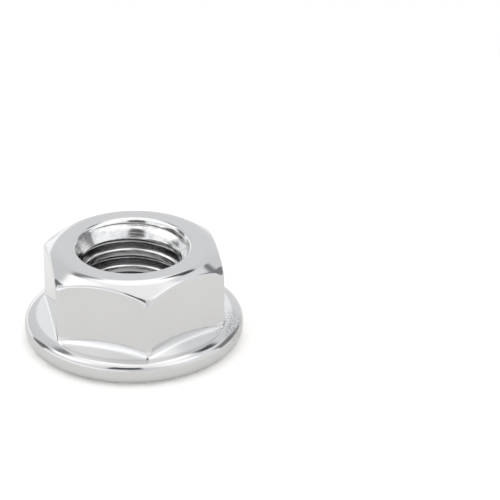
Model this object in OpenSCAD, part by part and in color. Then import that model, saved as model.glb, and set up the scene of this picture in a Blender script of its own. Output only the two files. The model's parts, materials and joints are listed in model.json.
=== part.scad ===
// Serrated flange lock nut with a 3/8-16 UNC thread, cold-forged and tapped in one piece.
// Z runs up along the thread and z = 0 is the bearing face under the flange.
// Lengths are in millimetres and angles in degrees.

/* [Thread] */
// Nominal diameter of the thread
thread_d = 9.525; // [8:0.005:10]
// Pitch of the thread
thread_pitch = 1.5875; // [1:0.0125:2]
// Height of the thread that the bore leaves, in percent of a full one
thread_percent = 72; // [60:1:83]
// How far the top countersink's mouth reaches past the nominal thread, on the radius
top_mouth_margin = 0.15; // [0.05:0.05:0.5]
// The same at the bearing face
bottom_mouth_margin = 0.25; // [0.05:0.05:0.5]
// Full angle of the top countersink
top_countersink = 60; // [50:5:120]
// The same at the bearing face
bottom_countersink = 90; // [50:5:120]

/* [Hexagon] */
// Height of the whole nut
nut_h = 8.45; // [7:0.05:11]
// Wrench size, flat to flat
across_flats = 14.2875; // [13:0.0125:15]
// Radius of the upright edges
corner_r = 0.5; // [0.2:0.05:0.9]
// How far the flat top ends inside the flats, before its edge is rounded
crown_inset = 0.65; // [0.2:0.05:1]
// Slope of the crown, the chamfer round the top
crown_angle = 34; // [20:1:40]
// Radius that blends the flat top into the crown
crown_r = 1.55; // [0.5:0.05:2]

/* [Flange] */
// Outer diameter of the flange
flange_d = 18.6; // [18:0.1:20]
// Slope of the flange's upper side
flange_angle = 12; // [8:1:25]
// Radius of the rim's lower edge
rim_lower_r = 0.95; // [0.6:0.05:1.2]
// Radius of the rim's upper edge
rim_upper_r = 0.4; // [0.2:0.05:0.6]
// Upright stretch of the rim between its two rounded edges
rim_straight = 0.65; // [0.1:0.05:1]

/* [Serrations] */
// Number of locking teeth
tooth_count = 24; // [16:1:30]
// Diameter of the smooth ring inside the teeth, which bears first
bearing_d = 12.65; // [11.5:0.05:13.5]
// Depth at a tooth's steep side, measured where the rim starts to round
tooth_depth = 0.33; // [0.1:0.01:0.45]
// Angle that a crest sweeps on its way from the smooth ring to the rim
tooth_sweep = 24; // [14:1:28]
// Radius of a crest's curve in plan
crest_r = 10; // [7:0.5:15]
// Slope of a tooth's steep side
wall_angle = 65; // [50:5:85]
// Angle at which the valleys fade in from the smooth ring
fade_angle = 13; // [8:1:25]

/* [Hidden] */
$fn = 96;
// Overshoot that keeps cuts from ending flush with a face
over = 0.05;

// Thread, cut here as a plain bore at its minor diameter. A full thread narrows the bore by so many pitches:
full_thread = 1.299;
bore_r = (thread_d - full_thread * thread_pitch * thread_percent / 100) / 2;
top_mouth_r = thread_d / 2 + top_mouth_margin;
bottom_mouth_r = thread_d / 2 + bottom_mouth_margin;

// Hexagon
flat_r = across_flats / 2;
corner_centre_r = (flat_r - corner_r) / cos(30);
hex_reach = corner_centre_r + corner_r;
crown_start_r = flat_r - crown_inset;
crown_tangent = crown_r * tan(crown_angle / 2);
crown_reach = hex_reach + 1;
crown_drop = (crown_reach - crown_start_r) * tan(crown_angle);

// Flange
flange_r = flange_d / 2;
rim_lower_centre = [flange_r - rim_lower_r, rim_lower_r];
rim_upper_centre = [flange_r - rim_upper_r, rim_lower_r + rim_straight];
cone_start = rim_upper_centre + rim_upper_r * [sin(flange_angle), cos(flange_angle)];
cone_end_r = bore_r + 1;
cone_end_z = cone_start.y + (cone_start.x - cone_end_r) * tan(flange_angle);

// Serrations: a crest is an arc from start to tip, and chord is the straight line below it
bearing_r = bearing_d / 2;
tip_r = flange_r - rim_lower_r;
tooth_pitch = 360 / tooth_count;
crest_start = [bearing_r, 0];
crest_tip = tip_r * [cos(tooth_sweep), sin(tooth_sweep)];
chord = crest_tip - crest_start;
chord_len = norm(chord);
chord_angle = atan2(chord.y, chord.x);
chord_side = [chord.y, -chord.x] / chord_len;
crest_centre = (crest_start + crest_tip) / 2 + chord_side * sqrt(pow(crest_r, 2) - pow(chord_len / 2, 2));
// The steep side before this one passes its own tip this far from the chord
wall_tip = tip_r * [cos(tooth_sweep - tooth_pitch), sin(tooth_sweep - tooth_pitch)];
ramp_run = (wall_tip - crest_start) * chord_side;
ramp_slope = tooth_depth / ramp_run;
ramp_reach = ramp_run * 1.6;

// A hexagon with rounded corners, drawn flat
module rounded_hexagon() {
    corners = [for (i = [0:5]) corner_centre_r * [cos(60 * i), sin(60 * i)]];
    polygon([for (i = [0:5], side = [-30, 30]) corners[i] + corner_r * [cos(60 * i + side), sin(60 * i + side)]]);
    for (corner = corners) translate(corner) circle(r = corner_r);
}

// Half section of the crown: flat top, blend and cone, down to the bearing face
module crown_section() {
    tangent_r = crown_start_r - crown_tangent;
    blend_end = [tangent_r + crown_r * sin(crown_angle), nut_h - crown_r * (1 - cos(crown_angle))];
    polygon([[0, 0], [0, nut_h], [tangent_r, nut_h], blend_end,
        [crown_reach, nut_h - crown_drop], [crown_reach, 0]]);
    translate([tangent_r, nut_h - crown_r]) circle(r = crown_r);
}

module hexagon_head() {
    intersection() {
        linear_extrude(height = nut_h) rounded_hexagon();
        rotate_extrude() crown_section();
    }
}

// Half section of the flange: smooth underside, two rounded rim edges and the sloped top
module flange_section() {
    polygon([[0, 0], [rim_lower_centre.x, 0], rim_lower_centre + [rim_lower_r, 0],
        rim_upper_centre + [rim_upper_r, 0], cone_start, [cone_end_r, cone_end_z], [0, cone_end_z]]);
    intersection() {
        translate(rim_lower_centre) circle(r = rim_lower_r);
        square([flange_r + 1, rim_lower_centre.y]);
    }
    translate(rim_upper_centre) circle(r = rim_upper_r);
}

// Cuts one valley: a ramp that falls away from its crest and ends at the steep side of the tooth before
module valley_cut() {
    run_out = over / ramp_slope;
    wall_low = -2 * over;
    wall_high = ramp_reach * ramp_slope + 2 * over;
    difference() {
        translate(crest_start) rotate(chord_angle) translate([-ramp_run, 0, 0])
            rotate([90, 0, 90]) linear_extrude(height = chord_len + 3 * ramp_run)
                polygon([[run_out, -over], [-ramp_reach, -over], [-ramp_reach, ramp_reach * ramp_slope]]);
        rotate(-tooth_pitch) translate(concat(crest_centre, [wall_low]))
            cylinder(r1 = crest_r + wall_low / tan(wall_angle), r2 = crest_r + wall_high / tan(wall_angle),
                h = wall_high - wall_low);
    }
}

// The space in which valleys may be cut, so that they fade in from the smooth ring
module fade_section() {
    rise = tan(fade_angle);
    reach = flange_r + 1;
    polygon([[bearing_r - over / rise, -over], [reach, -over], [reach, (reach - bearing_r) * rise]]);
}

module serration_cuts() {
    intersection() {
        union() for (i = [0:tooth_count - 1]) rotate(i * tooth_pitch) valley_cut();
        rotate_extrude() fade_section();
    }
}

module countersink(mouth_r, angle) {
    depth = (mouth_r - bore_r) / tan(angle / 2);
    lip = over * tan(angle / 2);
    translate([0, 0, -over]) cylinder(r1 = mouth_r + lip, r2 = bore_r, h = depth + over);
}

module bore_cuts() {
    translate([0, 0, -over]) cylinder(r = bore_r, h = nut_h + 2 * over);
    countersink(bottom_mouth_r, bottom_countersink);
    translate([0, 0, nut_h]) mirror([0, 0, 1]) countersink(top_mouth_r, top_countersink);
}

module nut() {
    color("silver") difference() {
        union() {
            hexagon_head();
            rotate_extrude() flange_section();
        }
        serration_cuts();
        bore_cuts();
    }
}

nut();
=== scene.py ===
"""Looks of a serrated flange lock nut, one polished steel piece.

The nut is one closed mesh. Its rows run round the section of the nut: over the flange and the
hexagon, down the threaded bore and out again under the serrated flange. Its columns run round the
thread's axis. Lengths are in millimetres until the mesh is made, and angles in degrees.
"""

import json
import math

import bmesh
import bpy
import numpy as np
from mathutils import Matrix, Vector


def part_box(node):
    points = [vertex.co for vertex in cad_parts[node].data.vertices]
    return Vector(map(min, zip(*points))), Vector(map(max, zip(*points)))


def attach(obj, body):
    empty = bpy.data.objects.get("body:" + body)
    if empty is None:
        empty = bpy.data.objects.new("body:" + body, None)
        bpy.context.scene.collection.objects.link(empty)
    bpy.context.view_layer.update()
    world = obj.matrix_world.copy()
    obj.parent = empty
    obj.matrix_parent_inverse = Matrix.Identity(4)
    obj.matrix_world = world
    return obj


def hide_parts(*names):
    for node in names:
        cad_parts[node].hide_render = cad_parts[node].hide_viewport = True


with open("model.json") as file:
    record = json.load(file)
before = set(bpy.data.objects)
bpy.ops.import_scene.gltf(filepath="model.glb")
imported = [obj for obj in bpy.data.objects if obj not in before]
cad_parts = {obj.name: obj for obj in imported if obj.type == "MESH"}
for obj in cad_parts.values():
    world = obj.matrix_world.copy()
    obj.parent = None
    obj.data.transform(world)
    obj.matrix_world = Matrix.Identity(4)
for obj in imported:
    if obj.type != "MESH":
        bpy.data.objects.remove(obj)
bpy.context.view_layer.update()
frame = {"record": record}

MM = 0.001
mounts = {mount["name"]: mount for mount in frame["record"]["mounts"]}
low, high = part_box("nut")

# Sizes that the frame gives
nut_h = round((high.z - low.z) / MM, 3)
flange_r = round((high.y - low.y) / 2 / MM, 2)
bore_r = mounts["thread"]["dims"]["r_mm"]

# Sizes that the part's source gives
thread_r = 9.525 / 2
thread_pitch = 1.5875
top_mouth_r = thread_r + 0.15
bottom_mouth_r = thread_r + 0.25
top_countersink = 60
bottom_countersink = 90
flat_r = 14.2875 / 2
corner_r = 0.5
crown_start_r = flat_r - 0.65
crown_angle = 34
crown_r = 1.55
flange_angle = 12
rim_lower_r = 0.95
rim_upper_r = 0.4
rim_straight = 0.65
tooth_count = 24
bearing_r = 12.65 / 2
tooth_depth = 0.33
tooth_sweep = 24
crest_r = 10
wall_angle = 65
fade_angle = 13

# Small roundings that only the looks have
top_lip_r = 0.4
bottom_lip_r = 0.1
crown_edge_r = 0.4
crown_corner_r = 1.2
foot_fillet_r = 0.1
flange_crown_r = 2.6
flange_edge_r = 0.6
flange_edge_angle = 25
thread_crest_r = 0.12
thread_root_r = 0.17
tooth_foot_blend = 0.05
tooth_crest_blend = 0.02
countersink_blend = 0.04

# Angle from a corner over which the crown's edge narrows again
crown_corner_spread = 3.5

# Height at which the thread's crest crosses the +X direction, less whole pitches
thread_phase = 0.36

# Points closer than this are one
merge_gap = 0.0001

# Red, green and blue that the steel mirrors: the waves of its plating, low and high
wave_colours = ((0.64, 0.64, 0.638), (0.68, 0.68, 0.68))
# The countersink, and its blotches where the plating is thin
cut_colours = ((0.85, 0.85, 0.84), (0.7, 0.7, 0.7))
# The thread's roots and its crests: painted shade, dark in the roots that the crests above shade, lighter at
# the crests
thread_shade_colours = ((0.42, 0.42, 0.43), (0.78, 0.78, 0.78))
# Painted light round the hexagon's foot, brighter than the metal, against the darkening of two mirror bounces
foot_painted_light = (0.86, 0.86, 0.86)
pit_colour = (0.48, 0.48, 0.48)

# Where one look passes into another: radii, heights, and depths under the nut's top
mouth_softness = 0.02
# The thread's colour with its painted shade starts at these depths under the top, and lightens over these
# radii from the roots to the crests
thread_depths = (1.3, 2.3)
thread_shades = (4.45, 4.1)
# Heights over which the painted light round the hexagon's foot rises and falls
foot_light_rise = (2.1, 2.16)
foot_light_fall = (2.8, 2.4)

# The pitted patch on the flange: its middle, how far from it the pits start and are full, and its top
pitted_place = (8.7, 0.8, 2.0)
pitted_reach = (3, 0.8)
pitted_top = (2.4, 2.25)

# Cells of each noise in a metre, and the stretch of its values that shows
wave_scale = 260
ripple_scale = 420
blotch_scale = 1500
ring_scale = 5000
pit_scale = 6000
noise_range = (0.3, 0.7)
blotch_range = (0.45, 0.62)
pit_range = (0.42, 0.62)

# Roughness of the waves, low and high, and what the turned rings add
wave_roughness = (0.05, 0.09)
ring_roughness = 0.1

# Depths and strengths of the bumps
ripple_depth = 0.02
ripple_strength = 0.5
ring_depth = 0.02
ring_strength = 0.8
pit_depth = 0.01
pit_strength = 0.8

# The floor, with the light added to it where the camera sees it and where the steel mirrors it
floor_size = 130
floor_colour = (0.86, 0.85, 0.83, 1)
floor_lift_in_view = 0.27
floor_lift_in_steel = 0.1

# The camera, seen from the frame's origin
camera_azimuth = -68.31
camera_elevation = 29.5
camera_distance = 257.1
camera_yaw = 2.24
camera_pitch = -1.524
camera_roll = 1.266
focal_pixels = 3000
image_pixels = 500

# The light tent round the nut, set so that the steel mirrors about what the photo's does.
# Azimuths are measured from the camera's own, to the right.
# How bright its wall is, by azimuth
wall_light = [
    (-180, 0.92), (-150, 0.87), (-128, 0.84), (-95, 0.92), (-75, 1.04), (-55, 1.04),
    (-35, 0.98), (-25, 0.85), (10, 0.85), (30, 0.98), (55, 1.07), (75, 1.02),
    (95, 1.04), (128, 1.0), (138, 0.87), (150, 0.9), (180, 0.92)]
# The elevation at which its bright roof starts, by azimuth
roof_start = [
    (-180, 43), (-165, 53), (-150, 58), (-132, 58), (-120, 40), (-105, 37), (-90, 31), (-75, 33),
    (-60, 46), (-45, 53), (-30, 53), (20, 45), (32, 38), (45, 30), (60, 33), (75, 34),
    (90, 52), (105, 67), (120, 67), (135, 60), (150, 57), (165, 46), (180, 43)]
# Half the height of the band in which the wall passes into the roof
roof_softness = 6
# The roof's light, and how much less it is straight in front
roof_light = 1.26
roof_loss = 0.2
# Azimuth and elevation of the lamps behind the roof
lamps = [(-90, 46), (62, 48), (172, 64)]
# What a lamp adds, and the cosines of the angles from it at which its glow starts and is full
lamp_light = 0.25
lamp_glow = (0.88, 0.98)
# A glow low on the left: its elevations, how far to the right it starts and is full, and its light
low_glow_elevations = (14, 9)
low_glow_sides = (-0.08, -0.2)
low_glow_light = 0.4
# What stands dark in the tent, a camera, two uprights and two frames:
# azimuth, elevation, half width, half height, softness and darkness
dark_patches = [
    (-11, 42, 19, 16, 3, 0.86),
    (-113, 17, 10, 20, 2, 0.75),
    (114, 11, 20, 25, 2, 0.72),
    (-145, 52, 22, 4, 3, 0.6),
    (150, 52, 17, 5, 2.5, 0.88)]
wall_tint = (0.985, 0.995, 1.02)
white = (1.0, 1.0, 1.0)

# Derived sizes
tooth_pitch = 360 / tooth_count
rim_lower_centre = np.array([flange_r - rim_lower_r, rim_lower_r])
cone_start_r = flange_r - rim_upper_r * (1 - math.sin(math.radians(flange_angle)))
cone_start_z = rim_lower_r + rim_straight + rim_upper_r * math.cos(math.radians(flange_angle))
corner_centre_r = (flat_r - corner_r) / math.cos(math.radians(30))
crown_tangent_r = crown_start_r - crown_r * math.tan(math.radians(crown_angle / 2))


def cos(angle):
    return np.cos(np.radians(angle))


def sin(angle):
    return np.sin(np.radians(angle))


def tan(angle):
    return np.tan(np.radians(angle))


def soft_min(a, b, blend):
    """The lower of a and b, rounded where they cross."""
    near = np.maximum(blend - np.abs(a - b), 0) / blend
    return np.minimum(a, b) - near * near * blend / 4


def soft_max(a, b, blend):
    return -soft_min(-a, -b, blend)


# Crests of the serrations, as arcs in plan from the smooth ring out to the rim
tip_r = flange_r - rim_lower_r
crest_start = np.array([bearing_r, 0])
crest_tip = tip_r * np.array([cos(tooth_sweep), sin(tooth_sweep)])
chord = crest_tip - crest_start
chord_len = np.hypot(*chord)
chord_side = np.array([chord[1], -chord[0]]) / chord_len
crest_centre = (crest_start + crest_tip) / 2 + chord_side * math.sqrt(crest_r**2 - (chord_len / 2) ** 2)
centre_r = np.hypot(*crest_centre)
centre_turn = math.degrees(math.atan2(crest_centre[1], crest_centre[0]))
wall_tip = tip_r * np.array([cos(tooth_sweep - tooth_pitch), sin(tooth_sweep - tooth_pitch)])
ramp_slope = tooth_depth / ((wall_tip - crest_start) @ chord_side)


def crest_turn(r):
    """Angle of the first crest at radius r. Inside the smooth ring it stays where the crest starts."""
    r = np.maximum(r, bearing_r)
    cosine = (r**2 + centre_r**2 - crest_r**2) / (2 * r * centre_r)
    return centre_turn + np.degrees(np.arccos(cosine))


def tooth_surfaces(r, past_crest):
    """Heights of the ramp, the steep wall and the fade-in, at an angle past the crest before the valley."""
    turn = crest_turn(r) - tooth_pitch + past_crest
    x, y = r * cos(turn), r * sin(turn)
    ramp = ((x - crest_start[0]) * chord_side[0] + (y - crest_start[1]) * chord_side[1]) * ramp_slope
    wall_x = centre_r * cos(centre_turn - tooth_pitch)
    wall_y = centre_r * sin(centre_turn - tooth_pitch)
    wall = (np.hypot(x - wall_x, y - wall_y) - crest_r) * tan(wall_angle)
    fade = (r - bearing_r) * tan(fade_angle)
    return ramp, wall, fade


def valley_height(r, past_crest):
    ramp, wall, fade = tooth_surfaces(r, past_crest)
    cut = soft_min(soft_min(ramp, fade, tooth_foot_blend), wall, tooth_foot_blend)
    return np.where(r > bearing_r, soft_max(cut, 0 * cut, tooth_crest_blend), 0)


def foot_past_crest(r):
    """Angle past the crest at which the steep wall meets the valley's floor."""
    tries = 1501
    least_angle = 0.2
    angles = np.linspace(0, tooth_pitch, tries)
    ramp, wall, fade = tooth_surfaces(min(r, tip_r), angles)
    return max(angles[np.argmax(wall >= np.minimum(ramp, fade))], least_angle)


def corner_offset(turn):
    """Angle from the nearest corner of the hexagon."""
    return (turn + 30) % 60 - 30


def hexagon_r(turn):
    """Radius of the hexagon with rounded corners, at an angle from the +X corner."""
    offset = corner_offset(turn)
    on_flat = flat_r / cos(30 - np.abs(offset))
    inside = np.maximum(corner_r**2 - (corner_centre_r * sin(offset)) ** 2, 0)
    on_corner = corner_centre_r * cos(offset) + np.sqrt(inside)
    corner_end = math.degrees(math.atan2(corner_r * sin(30), corner_centre_r + corner_r * cos(30)))
    return np.where(np.abs(offset) < corner_end, on_corner, on_flat)


def crown_edge(turn):
    """Radius of the edge under the crown, wider at the corners, which a forging die hardly fills."""
    near = np.exp(-(corner_offset(turn) / crown_corner_spread) ** 2)
    return crown_edge_r + (crown_corner_r - crown_edge_r) * near


def column_turns():
    """Angles of the columns at the rim: fine round the hexagon's corners and along each tooth's wall."""
    beside_corner = [-2.5, -2.0, 2.0, 2.5]
    on_ramp = [3.1, 4.6, 6.2, 7.8, 9.4, 11, 12.5, 13.7, 14.5]
    least_gap = 0.15
    sides = np.linspace(-30, 30, 13)
    corner = np.degrees(np.arctan2(corner_r * sin(sides), corner_centre_r + corner_r * cos(sides)))
    corner = np.concatenate([corner, beside_corner])
    corners = (60 * np.arange(6)[:, None] + corner).ravel() % 360
    foot = foot_past_crest(tip_r)
    tooth = np.array([0, foot / 3, foot * 2 / 3, foot, foot + 0.5, *on_ramp])
    teeth = (tooth_pitch * np.arange(tooth_count)[:, None] + crest_turn(flange_r) + tooth).ravel() % 360
    gaps = np.abs((teeth[:, None] - corners + 180) % 360 - 180).min(1)
    return np.sort(np.concatenate([corners, teeth[gaps > least_gap]]))


turns = column_turns()
hex_r = hexagon_r(turns)


def arc(centre_r, centre_z, radius, start, end, steps):
    """Rows (r, z) along an arc of the section, both ends included."""
    angle = np.linspace(start, end, steps + 1)[:, None]
    rows = np.broadcast_arrays(centre_r + radius * cos(angle), centre_z + radius * sin(angle), turns)
    return np.stack(rows[:2], -1)


def between(first, last, shares):
    """Rows on the straight line between two rows, at shares of the way."""
    shares = np.array(shares)[:, None, None]
    return first + (last - first) * shares


def join(pieces, shares):
    """Arcs joined by straight rows at the given shares of the way."""
    rows = [pieces[0]]
    for piece, share in zip(pieces[1:], shares):
        rows += [between(rows[-1][-1], piece[0], share), piece]
    return np.concatenate(rows)


def cone_z(r):
    """Height of the flange's sloped top at radius r."""
    return cone_start_z + (cone_start_r - r) * tan(flange_angle)


def rim_rows():
    """The rim's upper edge and the wide arc that eases it into the flange's slope."""
    step = flange_crown_r - flange_edge_r
    wide_r = flange_r - flange_edge_r - step * sin(flange_edge_angle)
    wide_z = cone_z(wide_r) - flange_crown_r / cos(flange_angle)
    edge_z = wide_z + step * cos(flange_edge_angle)
    edge = arc(flange_r - flange_edge_r, edge_z, flange_edge_r, 0, 90 - flange_edge_angle, steps=9)
    wide = arc(wide_r, wide_z, flange_crown_r, 90 - flange_edge_angle, 90 - flange_angle, steps=6)
    return np.concatenate([edge, wide[1:]])


def outer_rows():
    """The outside, from the rim's upper edge over the flange and the hexagon to the bore's mouth."""
    fillet_r = hex_r + foot_fillet_r
    fillet_z = cone_z(fillet_r) + foot_fillet_r / cos(flange_angle)
    fillet = arc(fillet_r, fillet_z, foot_fillet_r, 270 - flange_angle, 180, steps=7)
    edge_radius = crown_edge(turns)
    edge_r = hex_r - edge_radius
    edge_z = nut_h - (edge_r - crown_start_r) * tan(crown_angle) - edge_radius / cos(crown_angle)
    edge = arc(edge_r, edge_z, edge_radius, 0, 90 - crown_angle, steps=9)
    crown = arc(crown_tangent_r, nut_h - crown_r, crown_r, 90 - crown_angle, 90, steps=8)
    lip_end = 180 - top_countersink / 2
    lip_r = top_mouth_r + top_lip_r * tan((lip_end - 90) / 2)
    lip = arc(lip_r, nut_h - top_lip_r, top_lip_r, 90, lip_end, steps=6)
    on_slope = (0.06, 0.4, 0.94)
    on_flat = (0.015, 0.2, 0.5, 0.8, 0.985)
    on_crown = (0.15, 0.5, 0.85)
    on_top = (0.05, 0.5, 0.95)
    return join([rim_rows(), fillet, edge, crown, lip], [on_slope, on_flat, on_crown, on_top])


def section_corner(height, radius, rounding, start, end):
    """Heights and radii along a rounded corner of the thread's section."""
    angle = np.linspace(start, end, 3)
    return height - rounding * sin(angle), radius + rounding * cos(angle)


def thread_section():
    """One pitch of the thread as radius over height, from the middle of a crest to the next."""
    flank_shares = [0.12, 0.88]
    root_start = thread_pitch * 7 / 16
    crest_edge = root_start - (thread_r - bore_r) * tan(30) - thread_crest_r * tan(30)
    root_edge = root_start + thread_root_r * tan(30)
    crest = section_corner(crest_edge, bore_r + thread_crest_r, thread_crest_r, 180, 240)
    root = section_corner(root_edge, thread_r - thread_root_r, thread_root_r, 60, 0)
    height = np.concatenate([[0], crest[0], root[0]])
    radius = np.concatenate([[bore_r], crest[1], root[1]])
    flank_end = 1 + len(crest[0])
    ends = slice(flank_end - 1, flank_end + 1)
    flank = np.interp(flank_shares, [0, 1], height[ends])
    radius = np.insert(radius, flank_end, np.interp(flank, height[ends], radius[ends]))
    height = np.insert(height, flank_end, flank)
    half = np.stack([np.append(height, thread_pitch / 2), np.append(radius, thread_r)])
    mirrored = np.stack([thread_pitch - half[0, -2:0:-1], half[1, -2:0:-1]])
    return np.concatenate([half, mirrored], 1)


section = thread_section()
rows_per_pitch = section.shape[1]


def thread_rows(top, bottom):
    """Rows down the bore that follow the thread, cut off by the countersinks' lips at both ends.

    The last K rows of the first column, K being the rows of one pitch, lie below the nut's end as the
    first K rows of the last column lie above it. They shrink into the lips and are merged away."""
    pitches = math.ceil((top - bottom) / thread_pitch) + 2
    drop = np.concatenate([thread_pitch * k + section[0] for k in range(pitches)])
    start = top + (thread_phase - top) % thread_pitch
    z = start + thread_pitch * turns / 360 - drop[:, None]
    z = np.clip(z, bottom, top)
    height = (z - thread_phase - thread_pitch * turns / 360) % thread_pitch
    radius = np.interp(height, np.append(section[0], thread_pitch), np.append(section[1], bore_r))
    top_cone = top_mouth_r - (nut_h - z) * tan(top_countersink / 2)
    bottom_cone = bottom_mouth_r - z * tan(bottom_countersink / 2)
    cones = np.maximum(top_cone, bottom_cone)
    return np.stack([soft_max(radius, cones, countersink_blend), z], -1)


def underside_section(lip_r):
    """Rows from the bore's lower mouth out to the rim, before the valleys are cut."""
    ring_shares = np.array([0.97, 0.8, 0.6, 0.4, 0.2, 0.06, 0.015])
    valley_shares = np.array([0.015, 0.04, 0.08, 0.14, 0.21, 0.3, 0.39, 0.49, 0.6, 0.71, 0.82, 0.92, 0.98])
    lip_start = 180 + bottom_countersink / 2
    lip = arc(lip_r, bottom_lip_r, bottom_lip_r, lip_start, 270, steps=4)
    ring = bearing_r - (bearing_r - lip_r) * ring_shares
    valleys = bearing_r + (tip_r - bearing_r) * valley_shares
    rim = arc(*rim_lower_centre, rim_lower_r, 270, 360, steps=16)
    flat = [np.stack(np.broadcast_arrays(r, 0 * turns), -1)[None] for r in (*ring, *valleys)]
    return np.concatenate([lip, *flat, rim])


def underside_rows():
    """The underside with its valleys, as rows and the angle of each point in them.

    The columns follow the curved crests. Inside the smooth ring they turn back evenly to the bore."""
    lip_r = bottom_mouth_r + bottom_lip_r * tan((90 - bottom_countersink / 2) / 2)
    rows = underside_section(lip_r)
    unwind = (bearing_r - lip_r) / crest_turn(flange_r)
    foot_at_rim = foot_past_crest(tip_r)
    past_crest = (turns - crest_turn(flange_r)) % tooth_pitch
    crest = turns - past_crest
    row_turns = []
    for row in rows:
        r = row[0, 0]
        back = crest_turn(flange_r) - crest_turn(r)
        if r < bearing_r:
            back = np.clip((r - lip_r) / unwind, 0, back)
        past = past_crest
        if r > bearing_r:
            past = np.interp(past_crest, [0, foot_at_rim, tooth_pitch], [0, foot_past_crest(r), tooth_pitch])
            row[:, 1] = soft_max(valley_height(r, past), row[:, 1], tooth_crest_blend)
        row_turns.append(crest + past - back)
    return rows, np.array(row_turns)


def quad_corners(row_count, column_count, bore_rows):
    """Corner numbers of the quads. In the bore the last column joins the first one pitch further up."""
    index = np.arange(row_count * column_count).reshape(row_count, column_count)
    across = np.roll(index, -1, 1)
    first_column = index[bore_rows, 0]
    shifted = np.maximum(np.arange(len(first_column)) - rows_per_pitch, 0)
    across[bore_rows, -1] = first_column[shifted]
    corners = [index, across, np.roll(across, -1, 0), np.roll(index, -1, 0)]
    return np.stack(corners, -1).reshape(-1, 4)


def nut_mesh():
    outer = outer_rows()
    lower, lower_turns = underside_rows()
    bore = thread_rows(outer[-1, 0, 1], lower[0, 0, 1])
    rows = np.concatenate([outer, bore, lower])
    bore_end = len(outer) + len(bore)
    upper_turns = np.broadcast_to(turns, rows.shape[:2])[:bore_end]
    row_turns = np.concatenate([upper_turns, lower_turns])
    radius, height = rows[..., 0], rows[..., 1]
    points = np.stack([radius * cos(row_turns), radius * sin(row_turns), height], -1) * MM
    quads = quad_corners(*row_turns.shape, slice(len(outer), bore_end))
    mesh = bpy.data.meshes.new("nut_finish")
    mesh.from_pydata(points.reshape(-1, 3).tolist(), [], quads.tolist())
    return mesh


def clean(mesh):
    """Merges what shrank into the lips, and turns every face outwards."""
    work = bmesh.new()
    work.from_mesh(mesh)
    bmesh.ops.remove_doubles(work, verts=work.verts, dist=merge_gap * MM)
    bmesh.ops.dissolve_degenerate(work, edges=work.edges, dist=merge_gap * MM)
    bmesh.ops.recalc_face_normals(work, faces=work.faces)
    for face in work.faces:
        face.smooth = True
    work.to_mesh(mesh)
    work.free()


def node(tree, kind, inputs=(), **settings):
    """A node with some settings and inputs. An input that is a socket is linked, any other is its value."""
    made = tree.nodes.new(kind)
    for name, value in settings.items():
        setattr(made, name, value)
    for name, value in dict(inputs).items():
        if isinstance(value, bpy.types.NodeSocket):
            tree.links.new(value, made.inputs[name])
        else:
            made.inputs[name].default_value = value
    return made


def math_node(tree, operation, *values):
    """The output of a Math node. Each value is a socket or a number."""
    return node(tree, "ShaderNodeMath", enumerate(values), operation=operation).outputs[0]


def vector_node(tree, operation, *values, output="Vector"):
    """One output of a Vector Math node. Each value is a socket or three numbers."""
    return node(tree, "ShaderNodeVectorMath", enumerate(values), operation=operation).outputs[output]


def ramp_node(tree, value, start, end, first=0.0, last=1.0):
    """Goes from first to last, softly, while the value goes from start to end."""
    ends = {"Value": value, "From Min": start, "From Max": end, "To Min": first, "To Max": last}
    return node(tree, "ShaderNodeMapRange", ends, interpolation_type="SMOOTHSTEP").outputs["Result"]


def length_ramp(tree, length, start, end):
    """Goes from 0 to 1, softly, while a length goes from start to end in millimetres."""
    return ramp_node(tree, length, start * MM, end * MM)


def noise_node(tree, place, scale, detail=2):
    inputs = {"Vector": place, "Scale": scale, "Detail": detail}
    return node(tree, "ShaderNodeTexNoise", inputs).outputs["Fac"]


def mix_node(tree, factor, a, b):
    """A mix of two colours, each a socket or three numbers. The node's sockets 6, 7 and 2 are its colours."""
    colours = [(*colour, 1) if isinstance(colour, tuple) else colour for colour in (a, b)]
    inputs = {"Factor": factor, 6: colours[0], 7: colours[1]}
    return node(tree, "ShaderNodeMix", inputs, data_type="RGBA").outputs[2]


def bump_node(tree, height, depth, strength, inputs=()):
    """The normal that a bump of so many millimetres gives."""
    inputs = {"Height": height, "Distance": depth * MM, "Strength": strength, **dict(inputs)}
    return node(tree, "ShaderNodeBump", inputs).outputs["Normal"]


def ring_node(tree, flat_place, radius, height):
    """Rings round the axis that the tools left."""
    along = math_node(tree, "MULTIPLY", math_node(tree, "ADD", radius, height), ring_scale)
    ring_z = node(tree, "ShaderNodeCombineXYZ", {"Z": along}).outputs[0]
    round_place = vector_node(tree, "NORMALIZE", flat_place)
    return noise_node(tree, vector_node(tree, "ADD", round_place, ring_z), 1, 3)


def pitted_node(tree, place, height):
    """The patch of the flange that is pitted."""
    away = vector_node(tree, "DISTANCE", place, Vector(pitted_place) * MM, output="Value")
    on_flange = length_ramp(tree, height, *pitted_top)
    return math_node(tree, "MULTIPLY", length_ramp(tree, away, *pitted_reach), on_flange)


def outside_colour(tree, height, waves, pits):
    """The plating with its waves, painted light round the foot of the hexagon, and the pits."""
    # Painted light round the hexagon's foot, between these heights
    above_flange = length_ramp(tree, height, *foot_light_rise)
    foot = math_node(tree, "MULTIPLY", above_flange, length_ramp(tree, height, *foot_light_fall))
    plating = mix_node(tree, foot, mix_node(tree, waves, *wave_colours), foot_painted_light)
    return mix_node(tree, pits, plating, pit_colour)


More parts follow.
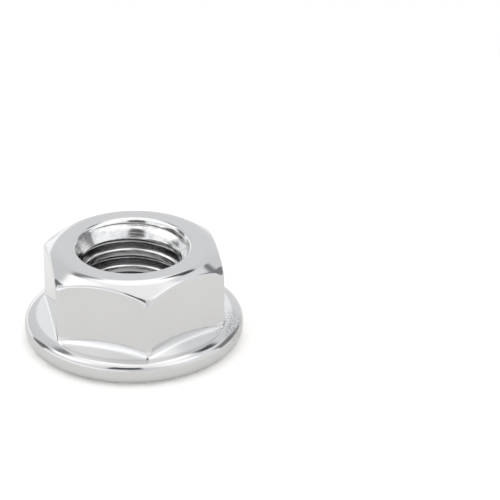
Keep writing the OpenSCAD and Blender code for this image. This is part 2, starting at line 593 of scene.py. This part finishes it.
def steel_colour(tree, place, radius, height, bore, outside):
    """The outside's colour, the countersink's in the bore, and the thread's further down in it, with painted
    shade darker towards its roots.
    """
    blotches = ramp_node(tree, noise_node(tree, place, blotch_scale, 3), *blotch_range)
    upper = mix_node(tree, bore, outside, mix_node(tree, blotches, *cut_colours))
    # Painted shade: deeper in the bore the thread's colour takes over, darker towards the roots
    deep = length_ramp(tree, height, *(nut_h - depth for depth in thread_depths))
    thread_painted_shade = mix_node(tree, length_ramp(tree, radius, *thread_shades), *thread_shade_colours)
    return mix_node(tree, math_node(tree, "MULTIPLY", bore, deep), upper, thread_painted_shade)


def steel_roughness(tree, bore, waves, rings):
    smooth = ramp_node(tree, waves, *noise_range, *wave_roughness)
    turned = ramp_node(tree, rings, *noise_range, 0, ring_roughness)
    return math_node(tree, "ADD", smooth, math_node(tree, "MULTIPLY", bore, turned))


def steel_normal(tree, place, bore, rings, pitted, pits):
    """Faint ripples everywhere, turned rings in the bore and the pits on the flange, one over another."""
    ring_share = math_node(tree, "MULTIPLY", bore, ring_strength)
    pit_share = math_node(tree, "MULTIPLY", pitted, pit_strength)
    ripple = bump_node(tree, noise_node(tree, place, ripple_scale, 1), ripple_depth, ripple_strength)
    marks = bump_node(tree, rings, ring_depth, ring_share, {"Normal": ripple})
    return bump_node(tree, pits, -pit_depth, pit_share, {"Normal": marks})


def steel_material():
    """Bright plated steel: smooth outside with painted light round the hexagon's foot, turned marks in the
    bore, and painted shade deep in the thread, darkest in its roots.
    """
    material = bpy.data.materials.new("plated_steel")
    material.use_nodes = True
    tree = material.node_tree
    shader = tree.nodes["Principled BSDF"]
    shader.inputs["Metallic"].default_value = 1
    place = node(tree, "ShaderNodeTexCoord").outputs["Object"]
    flat_place = vector_node(tree, "MULTIPLY", place, (1, 1, 0))
    radius = vector_node(tree, "LENGTH", flat_place, output="Value")
    height = node(tree, "ShaderNodeSeparateXYZ", {0: place}).outputs["Z"]

    bore = length_ramp(tree, radius, top_mouth_r + mouth_softness, top_mouth_r - mouth_softness)
    rings = ring_node(tree, flat_place, radius, height)
    waves = noise_node(tree, place, wave_scale)
    pitted = pitted_node(tree, place, height)
    pits = ramp_node(tree, noise_node(tree, place, pit_scale), *pit_range)

    outside = outside_colour(tree, height, waves, math_node(tree, "MULTIPLY", pitted, pits))
    colour = steel_colour(tree, place, radius, height, bore, outside)
    tree.links.new(colour, shader.inputs["Base Color"])
    tree.links.new(steel_roughness(tree, bore, waves, rings), shader.inputs["Roughness"])
    tree.links.new(steel_normal(tree, place, bore, rings, pitted, pits), shader.inputs["Normal"])
    return material


def add_nut():
    mesh = nut_mesh()
    clean(mesh)
    nut = bpy.data.objects.new("nut_finish", mesh)
    bpy.context.scene.collection.objects.link(nut)
    nut.data.materials.append(steel_material())
    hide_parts("nut")
    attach(nut, "root")


def floor_material():
    """A pale floor with a little light added for the camera and for the steel's reflections."""
    material = bpy.data.materials.new("floor")
    material.use_nodes = True
    tree = material.node_tree
    tree.nodes.clear()
    diffuse = node(tree, "ShaderNodeBsdfDiffuse", {"Color": floor_colour})
    path = node(tree, "ShaderNodeLightPath").outputs
    in_view = math_node(tree, "MULTIPLY", path["Is Camera Ray"], floor_lift_in_view)
    in_steel = math_node(tree, "MULTIPLY", path["Is Glossy Ray"], floor_lift_in_steel)
    lift = node(tree, "ShaderNodeEmission", {"Strength": math_node(tree, "ADD", in_view, in_steel)})
    both = node(tree, "ShaderNodeAddShader", {0: diffuse.outputs[0], 1: lift.outputs[0]})
    output = node(tree, "ShaderNodeOutputMaterial", {"Surface": both.outputs[0]})
    output.is_active_output = True
    return material


def add_floor():
    bpy.ops.mesh.primitive_plane_add(size=floor_size * MM)
    floor = bpy.context.object
    floor.name = "floor"
    floor.data.materials.append(floor_material())


def axis_towards(azimuth, elevation):
    """A direction of length 1, given by its azimuth in the frame and its elevation."""
    return cos(elevation) * cos(azimuth), cos(elevation) * sin(azimuth), sin(elevation)


def along_node(tree, direction, azimuth, elevation):
    """How far a direction goes along another, which is given by its azimuth and elevation."""
    return vector_node(tree, "DOT_PRODUCT", direction, axis_towards(azimuth, elevation), output="Value")


def round_node(tree, azimuth, values):
    """A value that changes round the nut, from pairs of azimuth and value from -180 to 180."""
    share = math_node(tree, "ADD", math_node(tree, "DIVIDE", azimuth, 360), 0.5)
    ramp = node(tree, "ShaderNodeValToRGB", {"Fac": share})
    stops = ramp.color_ramp.elements
    for place, _ in values[1:-1]:
        stops.new(place / 360 + 0.5)
    for stop, (_, value) in zip(stops, values):
        stop.color = (value, value, value, 1)
    return node(tree, "ShaderNodeSeparateXYZ", {"Vector": ramp.outputs["Color"]}).outputs["X"]


def patch_node(tree, azimuth, elevation, patch):
    """What is left of the light where something dark stands."""
    centre_azimuth, centre_elevation, half_width, half_height, soft, darkness = patch
    beside = math_node(tree, "ABSOLUTE", math_node(tree, "SUBTRACT", azimuth, centre_azimuth))
    above = math_node(tree, "ABSOLUTE", math_node(tree, "SUBTRACT", elevation, centre_elevation))
    across = ramp_node(tree, beside, half_width + soft, half_width - soft)
    dark = ramp_node(tree, above, half_height + soft, half_height - soft, 0, darkness)
    return math_node(tree, "SUBTRACT", 1, math_node(tree, "MULTIPLY", across, dark))


def roof_node(tree, direction, front):
    """The roof's light, brighter round each lamp."""
    roof = math_node(tree, "ADD", math_node(tree, "MULTIPLY", front, -roof_loss), roof_light)
    for azimuth, elevation in lamps:
        near = along_node(tree, direction, camera_azimuth + azimuth, elevation)
        roof = math_node(tree, "ADD", roof, ramp_node(tree, near, *lamp_glow, 0, lamp_light))
    return roof


def wall_node(tree, azimuth, elevation, right):
    """The wall's light, with the glow low on the left."""
    low_down = ramp_node(tree, elevation, *low_glow_elevations)
    glow = math_node(tree, "MULTIPLY", low_down, ramp_node(tree, right, *low_glow_sides, 0, low_glow_light))
    return math_node(tree, "ADD", round_node(tree, azimuth, wall_light), glow)


def add_world():
    """A light tent, plain white where the camera sees it."""
    world = bpy.data.worlds.new("light_tent")
    bpy.context.scene.world = world
    world.use_nodes = True
    tree = world.node_tree
    background = tree.nodes["Background"]
    direction = node(tree, "ShaderNodeTexCoord").outputs["Generated"]
    front = along_node(tree, direction, camera_azimuth, 0)
    right = along_node(tree, direction, camera_azimuth + 90, 0)
    azimuth = math_node(tree, "DEGREES", math_node(tree, "ARCTAN2", right, front))
    elevation = math_node(tree, "DEGREES", math_node(tree, "ARCSINE", along_node(tree, direction, 0, 90)))

    past_start = math_node(tree, "SUBTRACT", elevation, round_node(tree, azimuth, roof_start))
    under_roof = ramp_node(tree, past_start, -roof_softness, roof_softness)
    wall = wall_node(tree, azimuth, elevation, right)
    roof = roof_node(tree, direction, front)
    light = node(tree, "ShaderNodeMix", {"Factor": under_roof, "A": wall, "B": roof}).outputs["Result"]
    for patch in dark_patches:
        light = math_node(tree, "MULTIPLY", light, patch_node(tree, azimuth, elevation, patch))

    seen = node(tree, "ShaderNodeLightPath").outputs["Is Camera Ray"]
    tint = mix_node(tree, under_roof, wall_tint, white)
    tree.links.new(mix_node(tree, seen, tint, white), background.inputs["Color"])
    strength = node(tree, "ShaderNodeMix", {"Factor": seen, "A": light, "B": 1.0})
    tree.links.new(strength.outputs["Result"], background.inputs["Strength"])


def add_camera():
    camera = bpy.data.objects.new("camera", bpy.data.cameras.new("camera"))
    bpy.context.scene.collection.objects.link(camera)
    back = Vector(axis_towards(camera_azimuth, camera_elevation))
    right = Vector((-sin(camera_azimuth), cos(camera_azimuth), 0))
    aim = Matrix((right, back.cross(right), back))
    for angle, axis in ((camera_yaw, "Y"), (camera_pitch, "X"), (camera_roll, "Z")):
        aim = Matrix.Rotation(math.radians(angle), 3, axis) @ aim
    camera.matrix_world = Matrix.Translation(back * camera_distance * MM) @ aim.transposed().to_4x4()
    camera.data.lens = camera.data.sensor_width * focal_pixels / image_pixels
    bpy.context.scene.camera = camera


add_nut()
add_floor()
add_world()
add_camera()
bpy.context.scene.view_settings.view_transform = "Standard"
